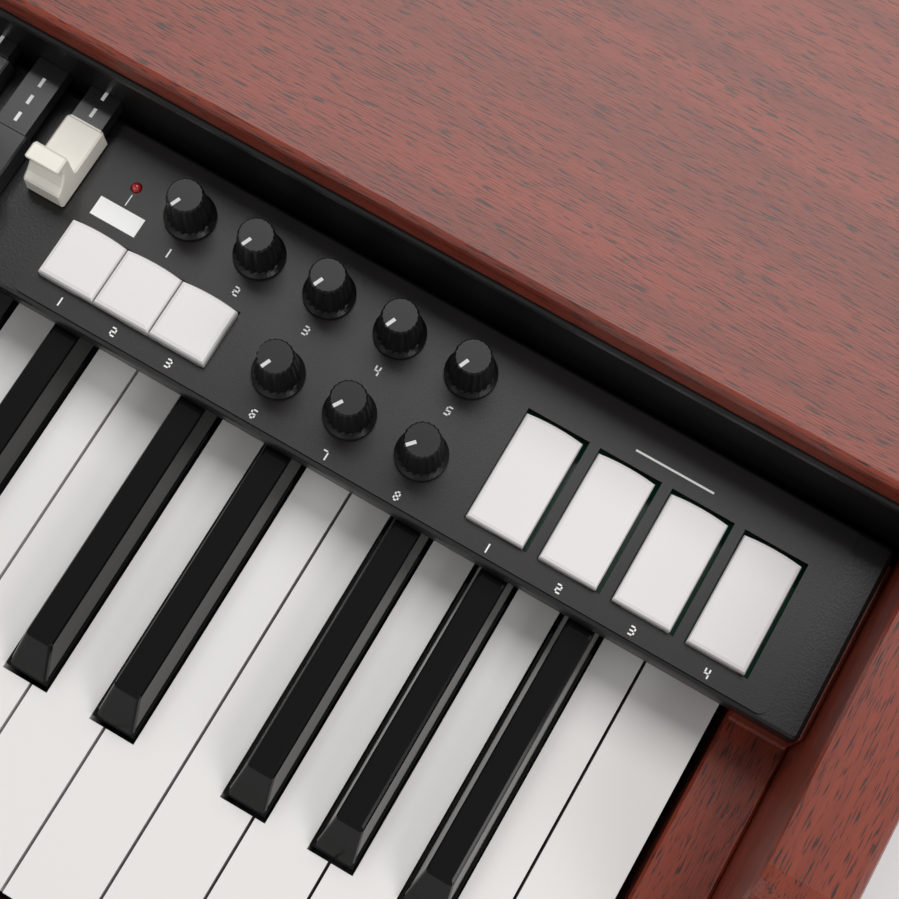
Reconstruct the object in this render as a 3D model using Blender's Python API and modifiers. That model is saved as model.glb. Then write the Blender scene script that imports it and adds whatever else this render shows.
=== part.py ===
# Single-manual electronic drawbar organ in a wooden case.
# Metres, +Z up, +X to the player's right, +Y to the back of the case.
# The origin is at the middle of the footprint, on the surface it stands on.

import math

import bmesh
import bpy
from mathutils import Matrix, Vector

# keyboard
natural_count = 36
natural_pitch = 0.0235
natural_gap = 0.0009
natural_reach = 0.1375
natural_depth = 0.020
natural_wall = 0.0018
slot_width = 0.0141
slot_side_gap = 0.0007
slot_end_gap = 0.0013
slot_reach = 0.0880
outer_slot_shift = 0.0021
wide_slot_shift = 0.0036
sharp_rise = 0.0120
sharp_step_rise = 0.0015
sharp_step = 0.0006
sharp_top_width = 0.0080
sharp_front_slope = 0.0090
sharp_body_depth = 0.0180
sharp_edge_radius = 0.0009
key_rear_inset = 0.0032
key_pivot_inset = 0.0122
comb_gap = 0.0012
comb_depth = 0.0030
comb_height = 0.0035
comb_pitch = 0.0045

# case
fit_gap = 0.0003
foot_height = 0.008
foot_radius = 0.011
base_thickness = 0.012
key_top_height = 0.068
case_depth = 0.380
case_rise = 0.051
cheek_thickness = 0.024
cheek_front_rise = 0.010
cheek_slope_front = 0.070
cheek_slope_rear = 0.118
cheek_corner_radius = 0.006
cheek_edge_radius = 0.0025
rail_thickness = 0.015
rail_drop = 0.010
key_front_gap = 0.0025
key_end_gap = 0.003
block_width = 0.019
block_drop = 0.004
top_thickness = 0.009
top_edge_radius = 0.002
steel = 0.0015

# control panel
panel_rise = 0.020
panel_depth = 0.0582
panel_front_roll = 0.0015
panel_lip = 0.0055
panel_side_gap = 0.0022
panel_corner_radius = 0.0015
film_thickness = 0.0003
film_side_margin = 0.0108
film_rear_margin = 0.0012
film_corner_radius = 0.0025
wall_gap = 0.0021
top_setback = 0.0017

# rocker tabs
tab_pitch = 0.02231
tab_slot_width = 0.01936
tab_slot_front = 0.00662
tab_slot_rear = 0.04246
tab_margin = 0.0081
tab_side_gap = 0.0005
tab_front_gap = 0.0004
tab_rear_gap = 0.0015
tab_width = 0.0174
tab_rise = 0.0032
tab_arch = 0.0006
tab_edge = 0.0011

# rotary knobs
knob_pitch = 0.02259
knob_margin = 0.01835
knob_row_rear = 0.0428
knob_row_front = 0.0159
knob_skirt_radius = 0.0075
knob_body_radius = 0.0064
knob_top_radius = 0.0052
knob_flute = 0.00035
knob_flutes = 20
knob_height = 0.0146
knob_boss_radius = 0.0030
knob_hole_radius = 0.0037
pointer_width = 0.0011
pointer_depth = 0.0003
pointer_rest = math.radians(22.5)

# square preset buttons
preset_count = 3
preset_margin = 0.0181
preset_slot_width = 0.0541
preset_slot_front = 0.0067
preset_slot_rear = 0.0259
preset_edge_gap = 0.0004
preset_between = 0.00035
preset_rise = 0.0040
preset_edge = 0.0013
film_left_margin = 0.0040
lamp_offset = 0.0094
lamp_row = 0.0424
lamp_radius = 0.0015
lamp_rise = 0.0014

# drawbars
bar_count = 9
bar_pitch = 0.0173
bar_offset = 0.0069
bar_travel = 0.032
bar_cap_length = 0.0230
bar_cap_width = 0.0125
bar_cap_base = 0.0072
bar_grip_rise = 0.0092
bar_grip_width = 0.0107
bar_grip_depth = 0.0058
bar_grip_front = 0.0028
bar_lift = 0.0004
bar_stem_width = 0.0098
bar_stem_height = 0.0048
bar_stem_length = 0.078
bar_wall_gap = 0.0010
bar_pulls = (0.032, 0.032, 0.032, 0.016, 0.008, 0.012, 0.004, 0.0211, 0.0095)

# inside and back
board_thickness = 0.0016
board_drop = 0.0104
board_front_gap = 0.0055
switch_gap = 0.0020
jack_pitch = 0.030
jack_count = 4
jack_bore_radius = 0.00325
inlet_width = 0.024
inlet_height = 0.0164
inlet_depth = 0.015
rocker_width = 0.0106
rocker_half_height = 0.0083
rocker_tilt = math.radians(7)

# positions that follow from the sizes
half_keys = natural_count * natural_pitch / 2
block_inner = half_keys + key_end_gap
cheek_inner = block_inner + block_width + fit_gap
half_width = cheek_inner + cheek_thickness
case_front = -case_depth / 2
case_rear = case_depth / 2
key_front = case_front + rail_thickness + key_front_gap
film_front = key_front + natural_reach
panel_front = film_front - panel_front_roll
panel_rear = film_front + panel_depth
wall_face = panel_rear + wall_gap
top_front = wall_face + top_setback
key_rear = panel_rear - key_rear_inset
key_pivot_y = panel_rear - key_pivot_inset
base_top = foot_height + base_thickness
key_bottom = key_top_height - natural_depth
panel_top = key_top_height + panel_rise
panel_under = panel_top - steel
film_bottom = panel_top + fit_gap
film_top = film_bottom + film_thickness
case_top = key_top_height + case_rise
panel_half = cheek_inner - panel_side_gap
film_right = panel_half - film_side_margin
tabs_right = film_right - tab_margin
tab_columns = [tabs_right - tab_slot_width / 2 - (3 - i) * tab_pitch for i in range(4)]
knob_column_right = tab_columns[0] - tab_slot_width / 2 - knob_margin
knob_columns = [knob_column_right - (4 - i) * knob_pitch for i in range(5)]
preset_right = knob_columns[2] - preset_margin
preset_left = preset_right - preset_slot_width
film_left = preset_left - film_left_margin
lamp_x = preset_left + lamp_offset
bar_right = film_left - bar_offset
bar_columns = [bar_right - (bar_count - 1 - i) * bar_pitch for i in range(bar_count)]
left_knob_x = -film_right
board_top = panel_top - board_drop
bar_bottom = panel_top + bar_lift
stem_top = bar_bottom + bar_cap_base - 0.0004
cap_rest_rear = wall_face - bar_wall_gap

# a profile drawn in X and Y is turned to lie in Y and Z, with its thickness along X
profile_turn = Matrix(((0, 0, 1, 0), (1, 0, 0, 0), (0, 1, 0, 0), (0, 0, 0, 1)))


def clear_scene():
    for old in list(bpy.data.objects):
        bpy.data.objects.remove(old, do_unlink=True)


def new_collection(name):
    group = bpy.data.collections.new(name)
    bpy.context.scene.collection.children.link(group)
    return group


clear_scene()
organ = new_collection("electronic_organ")
cutters = new_collection("cutters")


def material(name, colour, roughness, metallic=0.0):
    found = bpy.data.materials.get(name)
    if found:
        return found
    made = bpy.data.materials.new(name)
    made.use_nodes = True
    shader = made.node_tree.nodes["Principled BSDF"]
    shader.inputs["Base Color"].default_value = (*colour, 1.0)
    shader.inputs["Roughness"].default_value = roughness
    shader.inputs["Metallic"].default_value = metallic
    return made


def stained_wood():
    return material("stained_wood", (0.30, 0.075, 0.045), 0.45)


def black_steel():
    return material("black_steel", (0.022, 0.020, 0.020), 0.38)


def black_plastic():
    return material("black_plastic", (0.014, 0.014, 0.014), 0.30)


def add_object(name, mesh, surface=None, location=(0, 0, 0), group=None):
    made = bpy.data.objects.new(name, mesh)
    (group or organ).objects.link(made)
    made.location = location
    if surface and not mesh.materials:
        mesh.materials.append(surface)
    return made


def mesh_from(shape, name):
    mesh = bpy.data.meshes.new(name)
    shape.to_mesh(mesh)
    shape.free()
    return mesh


def box_shape(low, high):
    low = Vector(low)
    high = Vector(high)
    shape = bmesh.new()
    bmesh.ops.create_cube(shape, size=1.0)
    bmesh.ops.scale(shape, vec=high - low, verts=shape.verts)
    bmesh.ops.translate(shape, vec=(low + high) / 2, verts=shape.verts)
    return shape


def rod_shape(radius, start, end, sides=16, axis="Z"):
    """A cylinder on the Z axis from start to end, turned to the axis named."""
    shape = bmesh.new()
    bmesh.ops.create_cone(shape, cap_ends=True, segments=sides, radius1=radius,
                          radius2=radius, depth=end - start)
    bmesh.ops.translate(shape, vec=(0, 0, (start + end) / 2), verts=shape.verts)
    if axis == "Y":
        bmesh.ops.rotate(shape, matrix=Matrix.Rotation(math.radians(-90), 3, "X"), verts=shape.verts)
    if axis == "X":
        bmesh.ops.rotate(shape, matrix=Matrix.Rotation(math.radians(90), 3, "Y"), verts=shape.verts)
    return shape


def moved(shape, offset):
    bmesh.ops.translate(shape, vec=offset, verts=shape.verts)
    return shape


def bevel_edges(shape, edges, width, segments=1):
    bmesh.ops.bevel(shape, geom=edges, offset=width, segments=segments, profile=0.5,
                    affect="EDGES", clamp_overlap=True)
    return shape


def gathered(shapes, name):
    """One mesh holding several separate closed solids."""
    whole = bmesh.new()
    for shape in shapes:
        part = mesh_from(shape, name)
        whole.from_mesh(part)
        bpy.data.meshes.remove(part)
    return mesh_from(whole, name)


def outline_mesh(points, thickness, name):
    """A flat outline with its thickness centred on Z."""
    curve = bpy.data.curves.new(name, "CURVE")
    curve.dimensions = "2D"
    curve.fill_mode = "BOTH"
    curve.extrude = thickness / 2
    line = curve.splines.new("POLY")
    line.points.add(len(points) - 1)
    for point, (x, y) in zip(line.points, points):
        point.co = (x, y, 0, 1)
    line.use_cyclic_u = True
    holder = bpy.data.objects.new(name, curve)
    organ.objects.link(holder)
    bpy.context.view_layer.update()
    graph = bpy.context.evaluated_depsgraph_get()
    raw = bpy.data.meshes.new_from_object(holder.evaluated_get(graph))
    bpy.data.objects.remove(holder)
    bpy.data.curves.remove(curve)
    shape = bmesh.new()
    shape.from_mesh(raw)
    bpy.data.meshes.remove(raw)
    bmesh.ops.remove_doubles(shape, verts=shape.verts, dist=0.00001)
    bmesh.ops.dissolve_limit(shape, angle_limit=math.radians(0.5), verts=shape.verts,
                             edges=shape.edges)
    bmesh.ops.recalc_face_normals(shape, faces=shape.faces)
    return mesh_from(shape, name)


def profile_mesh(points, length, name):
    """A Y and Z profile run along X."""
    mesh = outline_mesh(points, length, name)
    mesh.transform(profile_turn)
    return mesh


def arc(centre, radius, start, end, steps):
    made = []
    for step in range(steps + 1):
        angle = math.radians(start + (end - start) * step / steps)
        made.append((centre[0] + radius * math.cos(angle), centre[1] + radius * math.sin(angle)))
    return made


def evaluated_mesh(thing):
    bpy.context.view_layer.update()
    graph = bpy.context.evaluated_depsgraph_get()
    return bpy.data.meshes.new_from_object(thing.evaluated_get(graph))


def boolean(thing, tool_mesh, operation, label):
    """Cut or join thing with a mesh that lies in world space."""
    tool = add_object(label, tool_mesh, group=cutters)
    tool.hide_render = True
    tool.display_type = "WIRE"
    change = thing.modifiers.new(label, "BOOLEAN")
    change.operation = operation
    change.object = tool
    change.solver = "EXACT"
    return tool


def settle(thing):
    """Keep the result of the modifiers as the object's own mesh."""
    mesh = evaluated_mesh(thing)
    thing.modifiers.clear()
    thing.data = mesh
    return mesh


def smooth(mesh, angle=40):
    mesh.shade_smooth()
    mesh.set_sharp_from_angle(angle=math.radians(angle))


def round_long_edges(thing, width, segments=2, angle=50):
    change = thing.modifiers.new("rounded_edges", "BEVEL")
    change.width = width
    change.segments = segments
    change.limit_method = "ANGLE"
    change.angle_limit = math.radians(angle)


def make_base_board():
    """The base with its moulded feet."""
    low = (-cheek_inner + fit_gap, case_front + rail_thickness + fit_gap, foot_height)
    high = (cheek_inner - fit_gap, case_rear - 0.002, base_top)
    board = add_object("base_board", mesh_from(box_shape(low, high), "base_board"),
                       material("base_black", (0.03, 0.028, 0.026), 0.7))
    feet = [moved(rod_shape(foot_radius, 0.0, foot_height + 0.002, 24), (x, y, 0))
            for x in (-half_width + 0.06, 0.0, half_width - 0.06)
            for y in (case_front + 0.045, case_rear - 0.045)]
    boolean(board, gathered(feet, "feet"), "UNION", "feet")


def cheek_profile():
    """Side view of a cheek: low at the player's end, then a sweep up to the full height."""
    low = foot_height
    shelf = key_top_height + cheek_front_rise
    corner = cheek_corner_radius
    rise = case_top - shelf
    start = case_front + cheek_slope_front
    run = cheek_slope_rear - cheek_slope_front
    points = [(case_front, low), (case_rear, low)]
    points += arc((case_rear - 0.003, case_top - 0.003), 0.003, 0, 90, 3)
    steps = 12
    for step in range(steps + 1):
        along = 1 - step / steps
        points.append((start + run * along, shelf + rise * (0.5 - 0.5 * math.cos(math.pi * along))))
    points += arc((case_front + corner, shelf - corner), corner, 90, 180, 4)
    return points


def make_cheeks():
    mesh = profile_mesh(cheek_profile(), cheek_thickness, "cheek")
    for name, side in (("left_cheek", -1), ("right_cheek", 1)):
        cheek = add_object(name, mesh, stained_wood(),
                           (side * (cheek_inner + cheek_thickness / 2), 0, 0))
        round_long_edges(cheek, cheek_edge_radius)


def make_key_blocks():
    """Wooden blocks beside the outer keys, with a raised seat for the panel's side folds."""
    low = base_top + fit_gap
    front = case_front + rail_thickness + fit_gap
    seat_front = panel_front + steel + 0.0008
    seat_rear = panel_rear - steel - 0.0008
    points = [(front, low), (seat_rear, low), (seat_rear, panel_top - panel_lip - fit_gap),
              (seat_front, panel_top - panel_lip - fit_gap),
              (seat_front, key_top_height - block_drop), (front, key_top_height - block_drop)]
    mesh = profile_mesh(points, block_width, "key_block")
    for name, side in (("left_key_block", -1), ("right_key_block", 1)):
        block = add_object(name, mesh, stained_wood(), (side * (block_inner + block_width / 2), 0, 0))
        round_long_edges(block, 0.0008, segments=1)


def make_front_rail():
    low = (-cheek_inner + fit_gap, case_front, foot_height)
    high = (cheek_inner - fit_gap, case_front + rail_thickness, key_top_height - rail_drop)
    rail = add_object("front_rail", mesh_from(box_shape(low, high), "front_rail"), stained_wood())
    round_long_edges(rail, 0.0015)


def make_wood_top():
    low = (-cheek_inner + fit_gap, top_front, case_top - top_thickness)
    high = (cheek_inner - fit_gap, case_rear, case_top)
    shape = box_shape(low, high)
    edges = [edge for edge in shape.edges
             if all(v.co.z > case_top - 0.001 for v in edge.verts)]
    bevel_edges(shape, edges, top_edge_radius, 3)
    mesh = mesh_from(shape, "wood_top")
    smooth(mesh)
    add_object("wood_top", mesh, stained_wood())


def channel_profile(face, back, low, high, direction):
    """A folded steel channel: an upright with a flange at each end."""
    inner = face + direction * steel
    roll = 0.0012
    points = [(face, low), (back, low), (back, low + steel), (inner, low + steel),
              (inner, high - steel), (back, high - steel), (back, high)]
    points += [(face + direction * roll * (1 - math.sin(a)), high - roll * (1 - math.cos(a)))
               for a in (0.0, math.pi / 4, math.pi / 2)]
    return points


def stem_slots():
    low = stem_top - bar_stem_height - 0.0005
    high = stem_top + 0.0005
    half = bar_stem_width / 2 + 0.0005
    return [box_shape((x - half, wall_face - 0.01, low), (x + half, wall_face + 0.01, high))
            for x in bar_columns]


def make_recess_wall():
    """The black folded wall behind the panel, under the front of the wooden top."""
    high = case_top - top_thickness - fit_gap
    points = channel_profile(wall_face, wall_face + 0.026, base_top + fit_gap, high, 1)
    mesh = profile_mesh(points, 2 * (cheek_inner - fit_gap), "recess_wall")
    wall = add_object("recess_wall", mesh, black_steel())
    boolean(wall, gathered(stem_slots(), "stem_slots"), "DIFFERENCE", "stem_slots")


def panel_cutters(extra):
    """Everything that comes up through the panel, grown by the extra given."""
    low = panel_top - 0.006
    high = film_top + 0.004
    shapes = []
    for x in tab_columns:
        shapes.append(box_shape(
            (x - tab_slot_width / 2 - extra, film_front + tab_slot_front - extra, low),
            (x + tab_slot_width / 2 + extra, film_front + tab_slot_rear + extra, high)))
    shapes.append(box_shape(
        (preset_left - extra, film_front + preset_slot_front - extra, low),
        (preset_right + extra, film_front + preset_slot_rear + extra, high)))
    for x, y in knob_places():
        shapes.append(moved(rod_shape(knob_hole_radius + extra, low, high, 20), (x, y, 0)))
    shapes.append(moved(rod_shape(lamp_radius + 0.0003 + extra, low, high, 16),
                        (lamp_x, film_front + lamp_row, 0)))
    return shapes


def knob_places():
    """The rear row of five, the front row of three, then the one at the left."""
    rear = [(x, film_front + knob_row_rear) for x in knob_columns]
    front = [(x, film_front + knob_row_front) for x in knob_columns[2:]]
    return rear + front + [(left_knob_x, film_front + knob_row_rear)]


def make_control_panel():
    """A folded steel tray, open underneath, with rounded folds."""
    shape = box_shape((-panel_half, panel_front, panel_top - panel_lip),
                      (panel_half, panel_rear, panel_top))
    upright = [e for e in shape.edges if abs(e.verts[0].co.z - e.verts[1].co.z) > 0.001]
    bevel_edges(shape, upright, panel_corner_radius, 2)
    upper = [e for e in shape.edges if all(v.co.z > panel_top - 0.0001 for v in e.verts)]
    bevel_edges(shape, upper, panel_front_roll * 0.8, 2)
    under = [f for f in shape.faces if f.normal.z < -0.9]
    bmesh.ops.delete(shape, geom=under, context="FACES")
    panel = add_object("control_panel", mesh_from(shape, "control_panel"), black_steel())
    shell = panel.modifiers.new("sheet", "SOLIDIFY")
    shell.thickness = steel
    shell.offset = -1
    shell.use_even_offset = True
    boolean(panel, gathered(panel_cutters(0.0), "panel_openings"), "DIFFERENCE", "panel_openings")
    smooth(settle(panel), 30)


def film_mesh(left, right, name):
    rear = film_front + panel_depth - film_rear_margin
    radius = film_corner_radius
    points = [(left, rear)]
    points += arc((left + radius, film_front + radius), radius, 180, 270, 4)
    points += arc((right - radius, film_front + radius), radius, 270, 360, 4)
    points += [(right, rear)]
    mesh = outline_mesh(points, film_thickness, name)
    mesh.transform(Matrix.Translation((0, 0, film_bottom + film_thickness / 2)))
    return mesh


def make_panel_overlay():
    """The printed film over the controls."""
    film = add_object("panel_overlay", film_mesh(film_left, film_right, "panel_overlay"),
                      material("dark_film", (0.030, 0.027, 0.026), 0.42))
    boolean(film, gathered(panel_cutters(-0.0001), "film_openings"), "DIFFERENCE", "film_openings")


def natural_points(slot_left, slot_right):
    """Plan of a natural key seen from above, its own left edge at X = 0.

    slot_left and slot_right say how far the neighbouring sharps' slots reach into the key.
    """
    left = natural_gap / 2
    right = natural_pitch - natural_gap / 2
    head = film_front - slot_reach
    points = [(left, key_front), (right, key_front)]
    if slot_right:
        points += [(right, head), (natural_pitch - slot_right, head),
                   (natural_pitch - slot_right, key_rear)]
    else:
        points += [(right, key_rear)]
    if slot_left:
        points += [(slot_left, key_rear), (slot_left, head), (left, head)]
    else:
        points += [(left, key_rear)]
    return points


def natural_mesh(points, name):
    """A moulded key: a shell with a flat top and square front, open underneath."""
    solid = outline_mesh(points, natural_depth, name)
    shape = bmesh.new()
    shape.from_mesh(solid)
    bpy.data.meshes.remove(solid)
    under = [f for f in shape.faces if f.normal.z < -0.9]
    bmesh.ops.delete(shape, geom=under, context="FACES")
    bmesh.ops.translate(shape, vec=(0, 0, key_top_height - natural_depth / 2), verts=shape.verts)
    holder = add_object(name, mesh_from(shape, name))
    shell = holder.modifiers.new("wall", "SOLIDIFY")
    shell.thickness = natural_wall
    shell.offset = -1
    shell.use_even_offset = True
    mesh = evaluated_mesh(holder)
    bpy.data.objects.remove(holder)
    return mesh


def sharp_centres():
    """Middle of each sharp from the left edge of its octave."""
    pitch = natural_pitch
    return {"c_sharp": pitch - outer_slot_shift, "d_sharp": 2 * pitch + outer_slot_shift,
            "f_sharp": 4 * pitch - wide_slot_shift, "g_sharp": 5 * pitch,
            "a_sharp": 6 * pitch + wide_slot_shift}


def sharp_mesh(name):
    """A sharp: a straight body with a stepped, tapered cap that slopes at the front."""
    half = slot_width / 2 - slot_side_gap
    front = film_front - slot_reach + slot_end_gap
    cap_rear = panel_front + steel + 0.0035
    shoulder = key_top_height + sharp_step_rise
    shape = box_shape((-half, front, key_top_height - sharp_body_depth), (half, key_rear, shoulder))
    bmesh.ops.bisect_plane(shape, geom=shape.verts[:] + shape.edges[:] + shape.faces[:],
                           plane_co=(0, cap_rear, 0), plane_no=(0, 1, 0))
    cap = [f for f in shape.faces
           if f.normal.z > 0.9 and f.calc_center_median().y < cap_rear]
    bmesh.ops.inset_region(shape, faces=cap, thickness=sharp_step)
    raised = bmesh.ops.extrude_face_region(shape, geom=cap)
    bmesh.ops.delete(shape, geom=cap, context="FACES")
    corners = [v for v in raised["geom"] if isinstance(v, bmesh.types.BMVert)]
    front_y = min(v.co.y for v in corners)
    top_z = key_top_height + sharp_rise
    for corner in corners:
        corner.co.z = top_z
        corner.co.x = math.copysign(sharp_top_width / 2, corner.co.x)
        if corner.co.y < front_y + 0.001:
            corner.co.y += sharp_front_slope
    edges = [e for e in shape.edges
             if all(v.co.z > top_z - 0.0001 for v in e.verts)
             or (abs(e.verts[0].co.z - e.verts[1].co.z) > 0.009
                 and min(v.co.y for v in e.verts) < cap_rear - 0.02
                 and max(v.co.z for v in e.verts) > top_z - 0.0001)]
    bevel_edges(shape, edges, sharp_edge_radius, 2)
    bmesh.ops.recalc_face_normals(shape, faces=shape.faces)
    mesh = mesh_from(shape, name)
    smooth(mesh, 35)
    return mesh


def comb_strip(band, tabs, left, right):
    """The strip that joins one moulding's keys behind their tails, in its own height band."""
    low = key_bottom + 0.001 + band * comb_pitch
    high = low + comb_height
    front = key_rear + comb_gap
    shapes = [box_shape((left + 0.002, front, low), (right - 0.002, front + comb_depth, high))]
    for x in tabs:
        shapes.append(box_shape((x - 0.004, key_rear - natural_wall * 0.6, low + 0.0002),
                                (x + 0.004, front + comb_depth * 0.5, high - 0.0002)))
    return shapes


def tail_middle(slot_left, slot_right):
    return (slot_left + natural_pitch - slot_right) / 2


def comb_mesh(keys, strips, name):
    """Join keys, tabs and strip into one moulding with its origin on the rocking line."""
    whole = bmesh.new()
    for key in keys:
        whole.from_mesh(key)
    holder = add_object(name, mesh_from(whole, name))
    for index, strip in enumerate(strips):
        boolean(holder, mesh_from(strip, name + "_strip"), "UNION", name + "_strip_%d" % index)
    mesh = evaluated_mesh(holder)
    bpy.data.objects.remove(holder)
    mesh.transform(Matrix.Translation((0, -key_pivot_y, -key_bottom)))
    return mesh


def make_keys():
    """Each octave is three mouldings, as in comb-moulded keybeds, and the last C is alone."""
    ivory = material("ivory_plastic", (0.83, 0.81, 0.78), 0.32)
    ebony = material("ebony_plastic", (0.012, 0.012, 0.012), 0.12)
    centres = sharp_centres()
    half = slot_width / 2
    combs = {"cegb": [], "dfa": []}
    tabs = {"cegb": [], "dfa": []}
    for index, note in enumerate("cdefgab"):
        left_edge = index * natural_pitch
        right_edge = left_edge + natural_pitch
        reach_left = 0.0
        reach_right = 0.0
        for centre in centres.values():
            if abs(centre - left_edge) < natural_pitch / 2:
                reach_left = centre + half - left_edge
            if abs(centre - right_edge) < natural_pitch / 2:
                reach_right = right_edge - centre + half
        mesh = natural_mesh(natural_points(reach_left, reach_right), note + "_key")
        mesh.transform(Matrix.Translation((left_edge, 0, 0)))
        comb = "cegb" if note in "cegb" else "dfa"
        combs[comb].append(mesh)
        tabs[comb].append(left_edge + tail_middle(reach_left, reach_right))
    octave = 7 * natural_pitch
    meshes = {}
    for band, comb in enumerate(("cegb", "dfa")):
        strips = comb_strip(band, tabs[comb], 0.0, octave)
        meshes[comb] = comb_mesh(combs[comb], strips, comb + "_comb")
    sharps = []
    for centre in centres.values():
        copy = sharp_mesh("sharp_key")
        copy.transform(Matrix.Translation((centre, 0, 0)))
        sharps.append(copy)
    strips = comb_strip(2, list(centres.values()), 0.0, octave)
    meshes["sharp"] = comb_mesh(sharps, strips, "sharp_comb")
    for index in range(natural_count // 7):
        place = (-half_keys + index * octave, key_pivot_y, key_bottom)
        for comb, surface in (("cegb", ivory), ("dfa", ivory), ("sharp", ebony)):
            add_object("octave_%d_%s_keys" % (index + 1, comb), meshes[comb], surface, place)
    last = natural_mesh(natural_points(0.0, 0.0), "last_c_key")
    last.transform(Matrix.Translation((0, -key_pivot_y, -key_bottom)))
    add_object("last_c_key", last, ivory, (half_keys - natural_pitch, key_pivot_y, key_bottom))


def make_key_frame():
    """Base plate with a stop rail in front, a ridge behind, and a guide post in each natural."""
    low = base_top + fit_gap
    plate = low + 0.002
    pivot = key_pivot_y
    ridge = key_bottom - fit_gap
    dip = 0.0105
    stop = key_bottom - dip
    rail_front = key_front + 0.0075
    rail_rear = rail_front + 0.015
    rear = key_rear + 0.001
    points = [(key_front + 0.002, low), (rear, low), (rear, plate), (pivot + 0.006, plate),
              (pivot + 0.0025, ridge - 0.0017), (pivot + 0.0015, ridge),
              (pivot - 0.0015, ridge), (pivot - 0.0025, ridge - 0.0017),
              (pivot - 0.006, plate), (rail_rear, plate), (rail_rear, stop),
              (rail_front, stop), (rail_front, plate), (key_front + 0.002, plate)]
    mesh = profile_mesh(points, 2 * (half_keys - 0.002), "key_frame")
    frame = add_object("key_frame", mesh, material("grey_steel", (0.30, 0.30, 0.31), 0.4, 0.8))
    posts = []
    post_low = stop - 0.004
    post_high = key_top_height - natural_wall - dip - 0.0015
    for index in range(natural_count):
        x = -half_keys + (index + 0.5) * natural_pitch
        posts.append(box_shape((x - 0.0025, rail_front + 0.0035, post_low),
                               (x + 0.0025, rail_rear - 0.0035, post_high)))
    boolean(frame, gathered(posts, "guide_posts"), "UNION", "guide_posts")


def tab_mesh():
    """A clear-capped rocker tab with an arched rear edge; origin on its rear hinge line."""
    length = tab_slot_rear - tab_slot_front - tab_front_gap - tab_rear_gap
    half = tab_width / 2
    low = board_top + switch_gap + 0.0006
    high = panel_top + tab_rise
    points = [(-half, -length), (half, -length)]
    for step in range(7):
        along = 1 - 2 * step / 6
        points.append((half * along, -tab_arch + tab_arch * (1 - along * along)))
    mesh = outline_mesh(points, high - low, "rocker_tab")
    shape = bmesh.new()
    shape.from_mesh(mesh)
    bmesh.ops.translate(shape, vec=(0, 0, (high + low) / 2 - tab_hinge_z()), verts=shape.verts)
    top = max(v.co.z for v in shape.verts)
    upper = [e for e in shape.edges if all(v.co.z > top - 0.0001 for v in e.verts)]
    bevel_edges(shape, upper, tab_edge, 2)
    return mesh_from(shape, "rocker_tab")


def tab_hinge_z():
    return panel_under - 0.003


def make_tabs():
    """Four rocker tabs from one mesh."""
    mesh = tab_mesh()
    smooth(mesh, 35)
    white = material("white_cap", (0.86, 0.85, 0.84), 0.18)
    rear = film_front + tab_slot_rear - tab_rear_gap
    for index, column in enumerate(tab_columns):
        x = column - tab_slot_width / 2 + tab_side_gap + tab_width / 2
        add_object("percussion_tab_%d" % (index + 1), mesh, white, (x, rear, tab_hinge_z()))


def make_preset_buttons():
    width = (preset_slot_width - 2 * preset_edge_gap - 2 * preset_between) / preset_count
    front = film_front + preset_slot_front + preset_edge_gap
    rear = film_front + preset_slot_rear - preset_edge_gap
    low = board_top + switch_gap + 0.0006
    high = panel_top + preset_rise
    length = rear - front
    points = [(-width / 2, -length / 2), (width / 2, -length / 2)]
    for step in range(7):
        along = 1 - 2 * step / 6
        points.append((width / 2 * along, length / 2 - tab_arch * along * along))
    mesh = outline_mesh(points, high - low, "preset_button")
    shape = bmesh.new()
    shape.from_mesh(mesh)
    top = max(v.co.z for v in shape.verts)
    upper = [e for e in shape.edges if all(v.co.z > top - 0.0001 for v in e.verts)]
    bevel_edges(shape, upper, preset_edge, 2)
    mesh = mesh_from(shape, "preset_button")
    smooth(mesh, 35)
    white = material("white_cap", (0.86, 0.85, 0.84), 0.18)
    for index in range(preset_count):
        x = preset_left + preset_edge_gap + width / 2 + index * (width + preset_between)
        add_object("preset_button_%d" % (index + 1), mesh, white,
                   (x, (front + rear) / 2, (low + high) / 2))


def knob_ring(shape, ring, radius, flute, z):
    """Move a ring of corners to a radius and height, every second one drawn in by the flute."""
    count = len(ring)
    for index, corner in enumerate(ring):
        angle = 2 * math.pi * index / count
        reach = radius - (flute if index % 2 else 0.0)
        corner.co = (reach * math.cos(angle), reach * math.sin(angle), z)


def next_ring(shape, ring):
    """Run the open edge of the ring on to a new ring of corners, in the same order."""
    edges = []
    for first, second in zip(ring, ring[1:] + ring[:1]):
        edges.append(shape.edges.get((first, second)))
    made = bmesh.ops.extrude_edge_only(shape, edges=edges)
    fresh = [v for v in made["geom"] if isinstance(v, bmesh.types.BMVert)]
    return sorted(fresh, key=lambda v: math.atan2(v.co.y, v.co.x) % (2 * math.pi - 1e-6))


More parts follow.
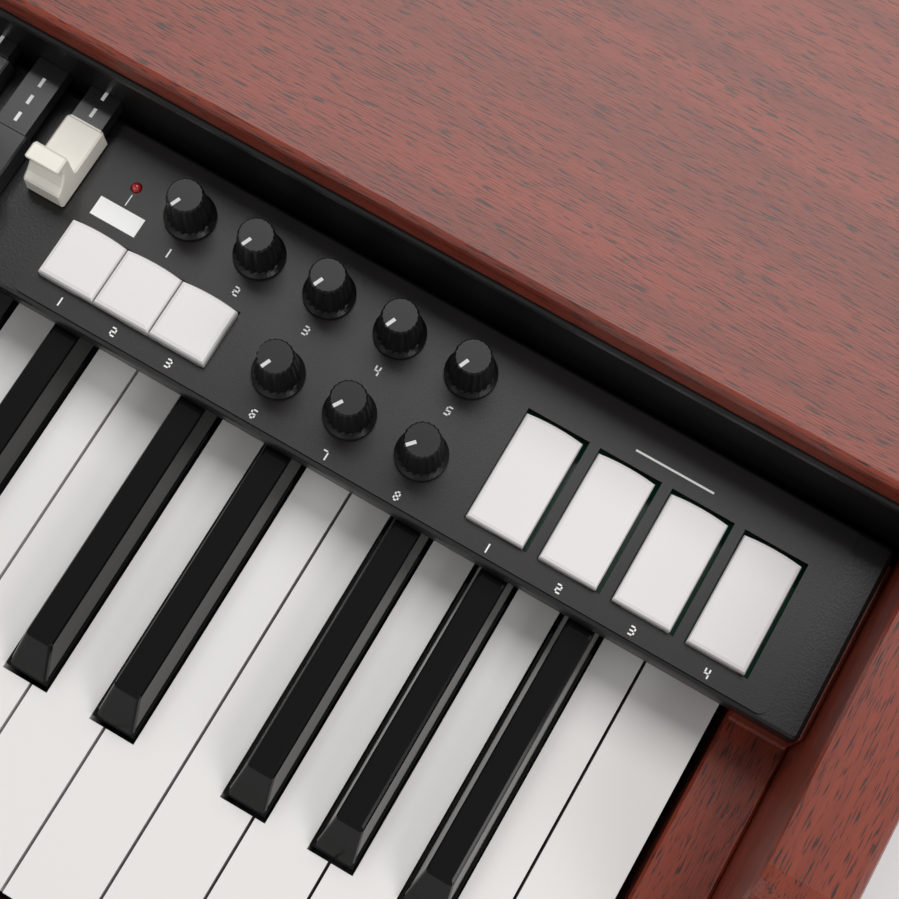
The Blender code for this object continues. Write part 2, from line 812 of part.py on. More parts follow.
def knob_mesh():
    """A fluted, tapered knob with a plain skirt and a boss that goes down to its spindle."""
    count = 2 * knob_flutes
    shape = bmesh.new()
    made = bmesh.ops.create_circle(shape, cap_ends=False, segments=count, radius=knob_boss_radius)
    ring = sorted(made["verts"], key=lambda v: math.atan2(v.co.y, v.co.x) % (2 * math.pi - 1e-6))
    boss_end = -(film_top + fit_gap - panel_top) - 0.0042
    knob_ring(shape, ring, knob_boss_radius, 0.0, boss_end)
    first = ring
    stages = [(knob_boss_radius, 0.0, 0.0), (knob_skirt_radius, 0.0, 0.0),
              (knob_skirt_radius, 0.0, 0.0009), (knob_body_radius + 0.0002, 0.0, 0.0017),
              (knob_body_radius, knob_flute, 0.0022),
              (knob_top_radius + 0.0001, knob_flute * 0.8, knob_height - 0.0006),
              (knob_top_radius - 0.0004, knob_flute * 0.6, knob_height)]
    for radius, flute, z in stages:
        ring = next_ring(shape, ring)
        knob_ring(shape, ring, radius, flute, z)
    bmesh.ops.contextual_create(shape, geom=ring)
    bmesh.ops.contextual_create(shape, geom=first)
    bmesh.ops.recalc_face_normals(shape, faces=shape.faces)
    holder = add_object("knob_turning", mesh_from(shape, "rotary_knob"))
    half = pointer_width / 2
    top_groove = box_shape((0.0015, -half, knob_height - pointer_depth),
                           (knob_top_radius + 0.001, half, knob_height + 0.002))
    boolean(holder, mesh_from(top_groove, "pointer_top"), "DIFFERENCE", "pointer_top")
    mesh = evaluated_mesh(holder)
    bpy.data.objects.remove(holder)
    smooth(mesh, 25)
    return mesh


def make_knobs():
    mesh = knob_mesh()
    black = black_plastic()
    names = ["rear_knob_%d" % (i + 1) for i in range(5)]
    names += ["front_knob_%d" % (i + 1) for i in range(3)]
    names += ["volume_knob"]
    turned_up = {"front_knob_2": math.radians(9), "front_knob_3": math.radians(20),
                 "volume_knob": math.radians(190)}
    for name, (x, y) in zip(names, knob_places()):
        knob = add_object(name, mesh, black, (x, y, film_top + fit_gap))
        knob.rotation_euler.z = -math.pi / 2 - pointer_rest - turned_up.get(name, 0.0)


def bar_profile():
    """Side view of a drawbar cap: a low block with a raised grip hollowed for the finger."""
    base = bar_cap_base
    grip = base + bar_grip_rise
    front = bar_grip_front
    back = front + bar_grip_depth
    points = [(0.0, 0.0), (bar_cap_length, 0.0), (bar_cap_length, base - 0.0008),
              (bar_cap_length - 0.0008, base), (back + 0.0006, base), (back, base + 0.0006),
              (back, grip - 0.0008), (back - 0.0008, grip), (front + 0.0006, grip),
              (front, grip - 0.0006)]
    hollow_depth = 0.0026
    steps = 7
    for step in range(1, steps):
        along = step / steps
        points.append((front + hollow_depth * math.sin(math.pi * along ** 0.8) - 0.0016 * along,
                       grip - 0.0006 - (bar_grip_rise - 0.0006) * along))
    points += [(0.0006, base), (0.0, base - 0.0006)]
    return points


def bar_mesh(colour_name):
    mesh = profile_mesh(bar_profile(), bar_cap_width, colour_name)
    slope = (bar_cap_width - bar_grip_width) / (bar_cap_base + bar_grip_rise)
    for corner in mesh.vertices:
        width = bar_cap_width - slope * corner.co.z
        corner.co.x = math.copysign(width / 2, corner.co.x)
    holder = add_object(colour_name, mesh)
    edge = holder.modifiers.new("soft_edges", "BEVEL")
    edge.width = 0.0005
    edge.segments = 1
    edge.limit_method = "ANGLE"
    edge.angle_limit = math.radians(60)
    half = bar_stem_width / 2
    top = stem_top - bar_bottom
    stem = box_shape((-half, bar_cap_length - 0.004, top - bar_stem_height),
                     (half, bar_cap_length + bar_stem_length, top))
    boolean(holder, mesh_from(stem, colour_name + "_stem"), "UNION", colour_name + "_stem")
    made = evaluated_mesh(holder)
    bpy.data.objects.remove(holder)
    return made


def make_drawbars():
    """Nine sliding bars in the usual order of brown, white and black caps."""
    brown = material("brown_cap", (0.16, 0.055, 0.030), 0.30)
    cream = material("cream_cap", (0.82, 0.78, 0.71), 0.35)
    dark = material("black_cap", (0.015, 0.015, 0.015), 0.25)
    order = [brown, brown, cream, cream, dark, cream, dark, dark, cream]
    plain = bar_mesh("drawbar")
    meshes = {}
    for index, (surface, x, pull) in enumerate(zip(order, bar_columns, bar_pulls)):
        if surface.name not in meshes:
            meshes[surface.name] = plain.copy()
            meshes[surface.name].materials.clear()
        y = cap_rest_rear - bar_cap_length - pull
        add_object("drawbar_%d" % (index + 1), meshes[surface.name], surface, (x, y, bar_bottom))


def make_drawbar_chassis():
    """A grooved guide block behind the wall; each stem slides in its own groove."""
    stem_low = stem_top - bar_stem_height
    front = wall_face + steel + fit_gap
    half = bar_stem_width / 2 + 0.0004
    low = stem_low - fit_gap - 0.004
    high = stem_top + 0.0012
    margin = 0.006
    block = box_shape((bar_columns[0] - half - margin, front, low),
                      (bar_columns[-1] + half + margin, wall_face + bar_stem_length + 0.004, high))
    chassis = add_object("drawbar_chassis", mesh_from(block, "drawbar_chassis"), black_plastic())
    grooves = [box_shape((x - half, front - 0.004, stem_low - fit_gap),
                         (x + half, wall_face + bar_stem_length + 0.01, high + 0.004))
               for x in bar_columns]
    boolean(chassis, gathered(grooves, "stem_grooves"), "DIFFERENCE", "stem_grooves")
    lips = []
    top = case_top - top_thickness - steel - 2 * fit_gap
    for x in (bar_columns[0] - half - margin / 2, bar_columns[-1] + half + margin / 2):
        lips.append(box_shape((x - margin / 2, front, high - 0.001), (x + margin / 2, front + 0.020, top)))
    boolean(chassis, gathered(lips, "chassis_ears"), "UNION", "chassis_ears")


def make_circuit_board():
    """The board under the controls, with its posts, potentiometers and switches."""
    front = film_front + board_front_gap
    rear = panel_rear - steel - 0.0015
    thick = board_thickness
    low = board_top - thick
    shape = box_shape((film_left + 0.002, front, low), (block_inner - 0.0008, rear, board_top))
    board = add_object("circuit_board", mesh_from(shape, "circuit_board"),
                       material("green_board", (0.02, 0.16, 0.09), 0.4))
    fitted = []
    for x, y in knob_places()[:8]:
        fitted.append(box_shape((x - 0.006, y - 0.006, low + thick / 2),
                                (x + 0.006, y + 0.0055, panel_top - 0.0042 - fit_gap)))
    switch_top = board_top + 0.0006
    for x in tab_columns:
        y = film_front + tab_slot_front + 0.008
        fitted.append(box_shape((x - 0.003, y - 0.003, low + thick / 2),
                                (x + 0.003, y + 0.003, switch_top)))
    width = preset_slot_width / preset_count
    for index in range(preset_count):
        x = preset_left + (index + 0.5) * width
        y = film_front + (preset_slot_front + preset_slot_rear) / 2
        fitted.append(box_shape((x - 0.003, y - 0.003, low + thick / 2),
                                (x + 0.003, y + 0.003, switch_top)))
    posts = [(tab_columns[3], film_front + tab_slot_rear + 0.005),
             (film_left + 0.008, film_front + 0.033), (preset_right + 0.006, film_front + 0.030),
             (knob_columns[-1] + 0.0125, film_front + 0.030)]
    for x, y in posts:
        fitted.append(moved(rod_shape(0.0025, low + thick / 2, panel_under - fit_gap, 10), (x, y, 0)))
    boolean(board, gathered(fitted, "board_parts"), "UNION", "board_parts")


def make_indicator_lamp():
    """A small domed lamp that stands on the board and shows through the film."""
    low = board_top + fit_gap
    high = film_top + lamp_rise
    radius = lamp_radius
    shape = bmesh.new()
    steps = [(0.0, low), (radius, low), (radius, high - radius)]
    steps += [(radius * math.cos(a), high - radius + radius * math.sin(a))
              for a in (math.pi / 8, math.pi / 4, 3 * math.pi / 8)]
    steps += [(0.0, high)]
    corners = [shape.verts.new((x, 0, z)) for x, z in reversed(steps)]
    for first, second in zip(corners, corners[1:]):
        shape.edges.new((first, second))
    lamp = add_object("indicator_lamp", mesh_from(shape, "indicator_lamp"),
                      material("red_lens", (0.35, 0.01, 0.015), 0.1), (lamp_x, film_front + lamp_row, 0))
    screw = lamp.modifiers.new("turn", "SCREW")
    screw.steps = 16
    screw.render_steps = 16
    screw.merge_threshold = 0.00001
    screw.use_merge_vertices = True


def jack_places():
    return [(0.10 + index * jack_pitch, base_top + 0.042) for index in range(jack_count)]


def inlet_place():
    return (-0.28, base_top + 0.042)


def make_rear_panel():
    """The folded steel back, cut for the sockets and the mains inlet."""
    face = case_rear - 0.002
    high = case_top - top_thickness - fit_gap
    points = channel_profile(face, face - 0.022, base_top + fit_gap, high, -1)
    mesh = profile_mesh(points, 2 * (cheek_inner - fit_gap), "rear_panel")
    back = add_object("rear_panel", mesh, black_steel())
    holes = []
    for x, z in jack_places():
        holes.append(moved(rod_shape(0.0050, face - 0.01, face + 0.01, 20, "Y"), (x, 0, z)))
    x, z = inlet_place()
    holes.append(box_shape((x - 0.0285, face - 0.01, z - 0.0125), (x + 0.0285, face + 0.01, z + 0.0125)))
    boolean(back, gathered(holes, "rear_openings"), "DIFFERENCE", "rear_openings")


def make_jack_strip():
    """Quarter-inch sockets in one moulded strip: a bushing through the panel and a nut for each."""
    face = case_rear - 0.002
    first, last = jack_places()[0], jack_places()[-1]
    body = box_shape((first[0] - 0.008, face - steel - 0.020, first[1] - 0.008),
                     (last[0] + 0.008, face - steel - fit_gap, last[1] + 0.008))
    jacks = add_object("jack_strip", mesh_from(body, "jack_strip"), black_plastic())
    bushings = []
    nuts = []
    bores = []
    for x, z in jack_places():
        bushings.append(moved(rod_shape(0.0046, face - steel - 0.004, case_rear - 0.0002, 20, "Y"),
                              (x, 0, z)))
        nuts.append(moved(rod_shape(0.0068, face + fit_gap, case_rear - 0.0006, 6, "Y"), (x, 0, z)))
        bores.append(moved(rod_shape(jack_bore_radius, face - steel - 0.016, case_rear + 0.004, 20, "Y"),
                           (x, 0, z)))
    boolean(jacks, gathered(bushings, "jack_bushings"), "UNION", "jack_bushings")
    boolean(jacks, gathered(nuts, "jack_nuts"), "UNION", "jack_nuts")
    boolean(jacks, gathered(bores, "jack_bores"), "DIFFERENCE", "jack_bores")


def make_mains_inlet():
    """Moulded inlet and switch housing: a flange outside, a shell through the back panel."""
    face = case_rear - 0.002
    x, z = inlet_place()
    shell = box_shape((x - 0.028, face - 0.024, z - 0.012), (x + 0.028, face + 0.0005, z + 0.012))
    inlet = add_object("mains_inlet", mesh_from(shell, "mains_inlet"), black_plastic())
    flange = box_shape((x - 0.033, face + fit_gap, z - 0.0155), (x + 0.033, case_rear - 0.0004, z + 0.0155))
    boolean(inlet, mesh_from(flange, "inlet_flange"), "UNION", "inlet_flange")
    plug_x = x - 0.012
    socket = box_shape((plug_x - inlet_width / 2, case_rear - inlet_depth, z - inlet_height / 2),
                       (plug_x + inlet_width / 2, case_rear + 0.002, z + inlet_height / 2))
    boolean(inlet, mesh_from(socket, "inlet_socket"), "DIFFERENCE", "inlet_socket")
    pins = []
    for dx, dz in ((-0.007, -0.002), (0.007, -0.002), (0.0, 0.002)):
        pins.append(box_shape((plug_x + dx - 0.001, case_rear - inlet_depth - 0.002, z + dz - 0.002),
                              (plug_x + dx + 0.001, case_rear - 0.0025, z + dz + 0.002)))
    boolean(inlet, gathered(pins, "inlet_pins"), "UNION", "inlet_pins")
    rocker_x = switch_place()[0]
    window = box_shape((rocker_x - rocker_width / 2 - 0.0004, face - 0.016, z - 0.0098),
                       (rocker_x + rocker_width / 2 + 0.0004, case_rear + 0.002, z + 0.0098))
    boolean(inlet, mesh_from(window, "switch_window"), "DIFFERENCE", "switch_window")


def switch_place():
    x, z = inlet_place()
    return (x + 0.0175, case_rear - 0.0097, z)


def make_power_switch():
    """A rocker with a shallow V face, at rest with its upper half pressed."""
    half = rocker_half_height
    points = [(-0.0030, -0.0045), (0.0086, -half), (0.0079, 0.0), (0.0086, half), (-0.0030, 0.0045)]
    mesh = profile_mesh(points, rocker_width, "power_switch")
    switch = add_object("power_switch", mesh, material("switch_red", (0.30, 0.02, 0.02), 0.3),
                        switch_place())
    switch.rotation_euler.x = rocker_tilt


def make_main_board():
    """Sound and supply board on the base, behind the wall."""
    low = base_top + 0.007
    left, right = -0.16, 0.07
    front, rear = wall_face + 0.045, case_rear - 0.045
    board = add_object("main_board", mesh_from(box_shape((left, front, low), (right, rear, low + 0.0016)),
                                               "main_board"),
                       material("green_board", (0.02, 0.16, 0.09), 0.4))
    fitted = []
    for x in (left + 0.006, right - 0.006):
        for y in (front + 0.006, rear - 0.006):
            fitted.append(moved(rod_shape(0.003, base_top + fit_gap, low + 0.0008, 10), (x, y, 0)))
    fitted.append(box_shape((left + 0.015, front + 0.015, low + 0.0008),
                            (left + 0.060, rear - 0.015, low + 0.032)))
    fitted.append(box_shape((left + 0.080, front + 0.020, low + 0.0008),
                            (left + 0.110, front + 0.050, low + 0.005)))
    fitted.append(moved(rod_shape(0.009, low + 0.0008, low + 0.028, 16), (right - 0.03, front + 0.03, 0)))
    boolean(board, gathered(fitted, "board_fittings"), "UNION", "board_fittings")


make_base_board()
make_cheeks()
make_key_blocks()
make_front_rail()
make_wood_top()
make_recess_wall()
make_control_panel()
make_panel_overlay()
make_keys()
make_key_frame()
make_tabs()
make_preset_buttons()
make_knobs()
make_drawbars()
make_drawbar_chassis()
make_circuit_board()
make_indicator_lamp()
make_rear_panel()
make_jack_strip()
make_mains_inlet()
make_power_switch()
make_main_board()
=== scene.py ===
import math

import bmesh
import bpy
from mathutils import Matrix, Vector


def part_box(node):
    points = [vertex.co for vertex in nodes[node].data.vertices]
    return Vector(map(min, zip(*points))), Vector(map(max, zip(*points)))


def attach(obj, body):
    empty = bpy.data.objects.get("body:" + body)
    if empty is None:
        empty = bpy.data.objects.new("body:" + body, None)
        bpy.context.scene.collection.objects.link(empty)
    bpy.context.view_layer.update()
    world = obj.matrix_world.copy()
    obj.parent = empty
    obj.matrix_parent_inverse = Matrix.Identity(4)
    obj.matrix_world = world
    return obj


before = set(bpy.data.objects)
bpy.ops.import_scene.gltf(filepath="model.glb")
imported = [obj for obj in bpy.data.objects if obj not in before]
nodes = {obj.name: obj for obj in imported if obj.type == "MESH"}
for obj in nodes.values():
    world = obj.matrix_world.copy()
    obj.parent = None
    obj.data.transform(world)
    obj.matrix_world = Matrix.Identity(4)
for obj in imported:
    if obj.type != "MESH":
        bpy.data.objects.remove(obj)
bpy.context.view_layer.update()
scene = bpy.context.scene
print("frame loaded:", len(nodes), "nodes")


# materials

def newMaterial(name, colour, roughness, metallic=0.0, coat=0.0, coatRoughness=0.1, specular=0.5):
    made = bpy.data.materials.new(name)
    made.use_nodes = True
    shader = made.node_tree.nodes["Principled BSDF"]
    shader.inputs["Base Color"].default_value = (*colour, 1.0)
    shader.inputs["Roughness"].default_value = roughness
    shader.inputs["Metallic"].default_value = metallic
    shader.inputs["Coat Weight"].default_value = coat
    shader.inputs["Coat Roughness"].default_value = coatRoughness
    shader.inputs["Specular IOR Level"].default_value = specular
    return made, made.node_tree, shader


def objectCoordinates(tree, scale):
    coordinates = tree.nodes.new("ShaderNodeTexCoord")
    mapping = tree.nodes.new("ShaderNodeMapping")
    mapping.inputs["Scale"].default_value = scale
    tree.links.new(coordinates.outputs["Object"], mapping.inputs["Vector"])
    return mapping.outputs["Vector"]


def noiseTexture(tree, scale, detail, distortion=0.0):
    # scale holds the waves in a metre along X, Y and Z, so the texture's own stays at 1
    made = tree.nodes.new("ShaderNodeTexNoise")
    made.inputs["Scale"].default_value = 1.0
    made.inputs["Detail"].default_value = detail
    made.inputs["Distortion"].default_value = distortion
    tree.links.new(objectCoordinates(tree, scale), made.inputs["Vector"])
    return made.outputs["Fac"]


def ramp(tree, value, span, first, last):
    made = tree.nodes.new("ShaderNodeValToRGB")
    tree.links.new(value, made.inputs["Fac"])
    for stop, place, colour in zip(made.color_ramp.elements, span, (first, last)):
        stop.position = place
        stop.color = (*colour, 1.0)
    return made.outputs["Color"]


def mixedColour(tree, share, first, last):
    # a colour Mix node takes its two colours at inputs 6 and 7 and gives the result at output 2
    mix = tree.nodes.new("ShaderNodeMix")
    mix.data_type = "RGBA"
    tree.links.new(share, mix.inputs["Factor"])
    for socket, value in ((mix.inputs[6], first), (mix.inputs[7], last)):
        if isinstance(value, tuple):
            socket.default_value = (*value, 1.0)
        else:
            tree.links.new(value, socket)
    return mix.outputs[2]


def addBump(tree, shader, height, distance, strength):
    bump = tree.nodes.new("ShaderNodeBump")
    bump.inputs["Distance"].default_value = distance
    bump.inputs["Strength"].default_value = strength
    tree.links.new(height, bump.inputs["Height"])
    tree.links.new(bump.outputs["Normal"], shader.inputs["Normal"])


# stained wood: slow streaks and short dark pores, both drawn out along the grain
wood = {
    "light": (0.240, 0.035, 0.014),
    "dark": (0.160, 0.023, 0.010),
    "pore": (0.040, 0.009, 0.006),
    "roughness": 0.42,
    "coat": 0.2,
    "coatRoughness": 0.22,
    "streakWaves": (6, 130),      # in a metre, along the grain and across it
    "streakDetail": 5.0,
    "streakBend": 0.6,
    "streakSpan": (0.32, 0.68),   # noise values that are fully dark and fully light
    "poreWaves": (150, 2200),
    "poreDetail": 2.0,
    "poreSpan": (0.36, 0.44),     # noise values that are all pore and no pore
    "poreDepth": 0.0002,
    "poreStrength": 0.5,
    "grainAlongY": ("left_cheek", "right_cheek", "left_key_block", "right_key_block"),
}


def woodMaterial(name, grainAlongY):
    def waves(setting):
        along, across = wood[setting]
        return (across, along, across) if grainAlongY else (along, across, across)

    made, tree, shader = newMaterial(name, wood["light"], wood["roughness"],
                                     coat=wood["coat"], coatRoughness=wood["coatRoughness"])
    streak = noiseTexture(tree, waves("streakWaves"), wood["streakDetail"], wood["streakBend"])
    pore = noiseTexture(tree, waves("poreWaves"), wood["poreDetail"])
    ground = ramp(tree, streak, wood["streakSpan"], wood["dark"], wood["light"])
    mask = ramp(tree, pore, wood["poreSpan"], (1, 1, 1), (0, 0, 0))
    colour = mixedColour(tree, mask, ground, wood["pore"])
    tree.links.new(colour, shader.inputs["Base Color"])
    addBump(tree, shader, pore, wood["poreDepth"], wood["poreStrength"])
    return made


# paint and film with a fine even texture
textured = {
    "base": dict(colour=(0.03, 0.028, 0.026), roughness=0.7, waves=900, depth=0.0001),
    "black_steel": dict(colour=(0.007, 0.006, 0.006), roughness=0.34, waves=1400, depth=0.00006),
    "film": dict(colour=(0.009, 0.007, 0.0068), roughness=0.36, waves=2600, depth=0.00004),
}
texture = {"detail": 2.0, "strength": 0.6}


def texturedMaterial(name, colour, roughness, waves, depth):
    made, tree, shader = newMaterial(name, colour, roughness)
    grain = noiseTexture(tree, (waves, waves, waves), texture["detail"])
    addBump(tree, shader, grain, depth, texture["strength"])
    return made


plain = {
    "ebony": dict(colour=(0.004, 0.004, 0.004), roughness=0.10, specular=0.3),
    "ivory": dict(colour=(0.82, 0.80, 0.78), roughness=0.32, coat=0.2, coatRoughness=0.15),
    "knob_black": dict(colour=(0.006, 0.006, 0.006), roughness=0.34, specular=0.35),
    "white_cap": dict(colour=(0.80, 0.77, 0.77), roughness=0.14, coat=0.6, coatRoughness=0.05),
    "brown_cap": dict(colour=(0.15, 0.045, 0.022), roughness=0.28, coat=0.3),
    "cream_cap": dict(colour=(0.80, 0.76, 0.68), roughness=0.30, coat=0.3),
    "black_cap": dict(colour=(0.014, 0.014, 0.015), roughness=0.28, coat=0.3),
    "grey_steel": dict(colour=(0.30, 0.30, 0.31), roughness=0.30, metallic=1.0),
    "green_board": dict(colour=(0.010, 0.16, 0.085), roughness=0.25, coat=0.4),
    "red_lens": dict(colour=(0.42, 0.008, 0.012), roughness=0.08, coat=0.8, coatRoughness=0.04),
    "switch_red": dict(colour=(0.30, 0.015, 0.015), roughness=0.15, coat=0.5),
    "black_plastic": dict(colour=(0.014, 0.014, 0.014), roughness=0.35),
    "ink": dict(colour=(0.86, 0.86, 0.85), roughness=0.5),
    "pointer": dict(colour=(0.62, 0.62, 0.62), roughness=0.5),
}

looks = {name: newMaterial(name, **settings)[0] for name, settings in plain.items()}
looks.update((name, texturedMaterial(name, **settings)) for name, settings in textured.items())
looks["wood_x"] = woodMaterial("wood_x", grainAlongY=False)
looks["wood_y"] = woodMaterial("wood_y", grainAlongY=True)


def slotOf(node):
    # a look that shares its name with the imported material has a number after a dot
    return node.material_slots[0].material.name.split(".")[0]


for name, node in nodes.items():
    key = slotOf(node)
    if key == "wood":
        key = "wood_y" if name in wood["grainAlongY"] else "wood_x"
    node.material_slots[0].material = looks[key]
print("materials set")


# printed marks and pointers

def boxShape(low, high):
    low, high = Vector(low), Vector(high)
    shape = bmesh.new()
    bmesh.ops.create_cube(shape, size=1.0)
    bmesh.ops.scale(shape, vec=high - low, verts=shape.verts)
    bmesh.ops.translate(shape, vec=(low + high) / 2, verts=shape.verts)
    return shape


def addPiece(name, shapes, look, body):
    whole = bmesh.new()
    for shape in shapes:
        part = bpy.data.meshes.new(name)
        shape.to_mesh(part)
        shape.free()
        whole.from_mesh(part)
        bpy.data.meshes.remove(part)
    mesh = bpy.data.meshes.new(name)
    whole.to_mesh(mesh)
    whole.free()
    mesh.materials.append(looks[look])
    made = bpy.data.objects.new(name, mesh)
    scene.collection.objects.link(made)
    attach(made, body)


def centreOf(name):
    low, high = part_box(name)
    return (low + high) / 2


def numbered(name, count):
    return ["%s_%d" % (name, index + 1) for index in range(count)]


marks = {
    "thickness": 0.00004,
    "bars": {                                      # left, front, right and rear sides
        "plate": (0.2045, -0.0056, 0.2190, 0.0004),    # label plate in front of the lamp
        "leader": (0.2116, 0.0013, 0.2119, 0.0050),    # thin line between plate and lamp
        "heading": (0.3690, 0.0115, 0.3930, 0.0121),   # bar behind the tabs
    },
}
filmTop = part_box("panel_overlay")[1].z


def flatMark(left, front, right, rear):
    return boxShape((left, front, filmTop), (right, rear, filmTop + marks["thickness"]))


# numerals are made of plain strokes, so no typeface is needed
numerals = {
    "strokes": {"1": "bc", "2": "abged", "3": "abgcd", "4": "fgbc",
                "5": "afgcd", "6": "afgedc", "7": "abc", "8": "abcdefg"},
    "width": 0.6,    # shares of the height
    "bold": 0.16,
}


def numeral(digit, x, y, height):
    bold = height * numerals["bold"]
    left, right = x - height * numerals["width"] / 2, x + height * numerals["width"] / 2
    bottom, top = y - height / 2, y + height / 2
    sides = {
        "a": (left, top - bold, right, top),
        "b": (right - bold, y, right, top),
        "c": (right - bold, bottom, right, y),
        "d": (left, bottom, right, bottom + bold),
        "e": (left, bottom, left + bold, y),
        "f": (left, y, left + bold, top),
        "g": (left, y - bold / 2, right, y + bold / 2),
    }
    return [flatMark(*sides[stroke]) for stroke in numerals["strokes"][digit]]


# a label stands its drop in front of the control's centre, or on a row of its own
labels = {
    "rearKnobs": dict(names=numbered("rear_knob", 5), first=1, height=0.0028, drop=0.0124),
    "frontKnobs": dict(names=numbered("front_knob", 3), first=6, height=0.0028, drop=0.0132),
    "presets": dict(names=numbered("preset_button", 3), first=1, height=0.0027, row=-0.0318),
    "tabs": dict(names=numbered("percussion_tab", 4), first=1, height=0.0027, row=-0.0324),
}


def labelShapes(names, first, height, drop=0.0, row=None):
    shapes = []
    for number, name in enumerate(names, first):
        centre = centreOf(name)
        y = centre.y - drop if row is None else row
        shapes += numeral(str(number), centre.x, y, height)
    return shapes


shapes = [shape for settings in labels.values() for shape in labelShapes(**settings)]
shapes += [flatMark(*bar) for bar in marks["bars"].values()]
addPiece("film_marks", shapes, "ink", "case")
print("film marks added")


# light strips in the knobs' grooves
pointer = {
    "inner": 0.0017,     # from the knob's axis
    "outer": 0.0046,
    "width": 0.0010,
    "floor": 0.00027,    # below the knob's top
    "top": 0.00003,
    "rest": -112.5,      # degrees from +X
    "turned": {"front_knob_2": 9, "front_knob_3": 20, "volume_knob": 190},
}

for name in labels["rearKnobs"]["names"] + labels["frontKnobs"]["names"] + ["volume_knob"]:
    centre, top, half = centreOf(name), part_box(name)[1].z, pointer["width"] / 2
    shape = boxShape((pointer["inner"], -half, top - pointer["floor"]),
                     (pointer["outer"], half, top - pointer["top"]))
    angle = math.radians(pointer["rest"] - pointer["turned"].get(name, 0))
    bmesh.ops.rotate(shape, matrix=Matrix.Rotation(angle, 3, "Z"), verts=shape.verts)
    bmesh.ops.translate(shape, vec=(centre.x, centre.y, 0), verts=shape.verts)
    addPiece(name + "_pointer", [shape], "pointer", name)
print("knob pointers added")


# drawbar stems are black behind the cap, with plain white ticks
stem = {
    "capLength": 0.0230,
    "paintGap": 0.0001,     # from the cap's rear face to the black
    "black": (0.008, 0.008, 0.008),
    "roughness": 0.30,
    "coat": 0.2,
    "ticks": 3,
    "tickStart": 0.0020,    # from the cap's rear face
    "tickPitch": 0.0060,
    "tickLength": 0.0030,
    "tickWidth": 0.0010,
    "tickRise": 0.00005,
    "tail": 0.001,          # length of the stem's end that its top is read from
}


def stemMaterial(name, capColour, edge):
    made, tree, shader = newMaterial(name, capColour, stem["roughness"], coat=stem["coat"])
    coordinates = tree.nodes.new("ShaderNodeTexCoord")
    split = tree.nodes.new("ShaderNodeSeparateXYZ")
    behind = tree.nodes.new("ShaderNodeMath")
    behind.operation = "GREATER_THAN"
    behind.inputs[1].default_value = edge
    tree.links.new(coordinates.outputs["Object"], split.inputs["Vector"])
    tree.links.new(split.outputs["Y"], behind.inputs[0])
    colour = mixedColour(tree, behind.outputs["Value"], capColour, stem["black"])
    tree.links.new(colour, shader.inputs["Base Color"])
    return made


for name in numbered("drawbar", 9):
    node, middle = nodes[name], centreOf(name).x
    low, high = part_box(name)
    capRear = low.y + stem["capLength"]
    capColour = plain[slotOf(node)]["colour"]
    node.material_slots[0].material = stemMaterial(name + "_look", capColour,
                                                   capRear + stem["paintGap"])
    top = max(v.co.z for v in node.data.vertices if v.co.y > high.y - stem["tail"])
    half = stem["tickWidth"] / 2
    shapes = []
    for tick in range(stem["ticks"]):
        start = capRear + stem["tickStart"] + tick * stem["tickPitch"]
        shapes.append(boxShape((middle - half, start, top),
                               (middle + half, start + stem["tickLength"], top + stem["tickRise"])))
    addPiece(name + "_ticks", shapes, "ink", name)
print("drawbar stems marked")


# floor, light and camera

floorSet = {"halfSide": 6.0, "drop": 0.0005, "colour": (0.86, 0.86, 0.86), "roughness": 0.6}


def addFloor():
    mesh = bpy.data.meshes.new("floor")
    shape = bmesh.new()
    bmesh.ops.create_grid(shape, x_segments=1, y_segments=1, size=floorSet["halfSide"])
    shape.to_mesh(mesh)
    shape.free()
    mesh.materials.append(newMaterial("floor", floorSet["colour"], floorSet["roughness"])[0])
    floor = bpy.data.objects.new("floor", mesh)
    floor.location = (0, 0, -floorSet["drop"])
    scene.collection.objects.link(floor)


lampAim = (0.3, -0.05, 0.08)
lamps = {
    "over": dict(place=(0.2, 0.9, 1.4), size=(1.6, 0.9), power=19),
    "side": dict(place=(1.7, -0.3, 1.1), size=(0.9, 0.9), power=10),
    "front": dict(place=(-0.1, -1.5, 1.3), size=(1.5, 0.9), power=6),
}


def addLamp(name, place, size, power):
    light = bpy.data.lights.new(name, "AREA")
    light.shape = "RECTANGLE"
    light.size, light.size_y = size
    light.energy = power
    lamp = bpy.data.objects.new(name, light)
    lamp.location = place
    lamp.rotation_mode = "QUATERNION"
    lamp.rotation_quaternion = (Vector(lampAim) - Vector(place)).to_track_quat("-Z", "Y")
    scene.collection.objects.link(lamp)


worldSet = {"softStrength": 0.28, "seenStrength": 1.0}    # seen by the camera alone


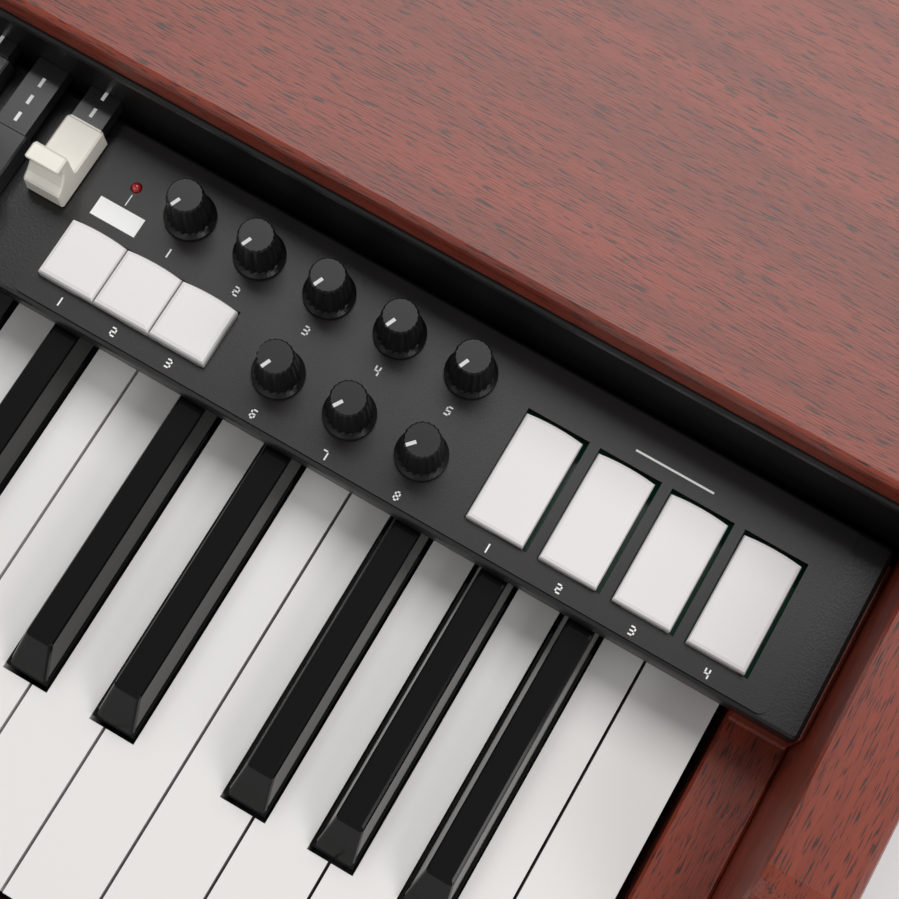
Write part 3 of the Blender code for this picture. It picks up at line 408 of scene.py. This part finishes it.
def addBackground(tree, strength):
    made = tree.nodes.new("ShaderNodeBackground")
    made.inputs["Color"].default_value = (1, 1, 1, 1)
    made.inputs["Strength"].default_value = strength
    return made.outputs["Background"]


def addWorld():
    world = bpy.data.worlds.new("studio")
    scene.world = world
    world.use_nodes = True
    tree = world.node_tree
    tree.nodes.clear()
    output = tree.nodes.new("ShaderNodeOutputWorld")
    path = tree.nodes.new("ShaderNodeLightPath")
    mix = tree.nodes.new("ShaderNodeMixShader")
    tree.links.new(path.outputs["Is Camera Ray"], mix.inputs["Fac"])
    tree.links.new(addBackground(tree, worldSet["softStrength"]), mix.inputs[1])
    tree.links.new(addBackground(tree, worldSet["seenStrength"]), mix.inputs[2])
    tree.links.new(mix.outputs["Shader"], output.inputs["Surface"])


cameraSet = {
    "place": (0.37809, -0.13738, 0.55983),
    "azimuth": 23.15,      # degrees
    "elevation": 74.09,
    "roll": 7.16,
    "lens": 72.53,         # mm, as is the sensor
    "sensor": 36,
    "clip": (0.01, 50),
}


def addCamera():
    a = math.radians(cameraSet["azimuth"])
    e = math.radians(cameraSet["elevation"])
    r = math.radians(cameraSet["roll"])
    forward = Vector((-math.sin(a) * math.cos(e), math.cos(a) * math.cos(e), -math.sin(e)))
    right = Vector((math.cos(a), math.sin(a), 0))
    up = Vector((-math.sin(a) * math.sin(e), math.cos(a) * math.sin(e), math.cos(e)))
    turnedRight = math.cos(r) * right + math.sin(r) * up
    turnedUp = -math.sin(r) * right + math.cos(r) * up
    data = bpy.data.cameras.new("camera")
    data.sensor_width = cameraSet["sensor"]
    data.lens = cameraSet["lens"]
    data.clip_start, data.clip_end = cameraSet["clip"]
    camera = bpy.data.objects.new("camera", data)
    matrix = Matrix((turnedRight, turnedUp, -forward)).transposed().to_4x4()
    matrix.translation = Vector(cameraSet["place"])
    camera.matrix_world = matrix
    scene.collection.objects.link(camera)
    scene.camera = camera


addFloor()
for name, settings in lamps.items():
    addLamp(name, **settings)
addWorld()
addCamera()
scene.view_settings.view_transform = "Standard"
print("stage ready")
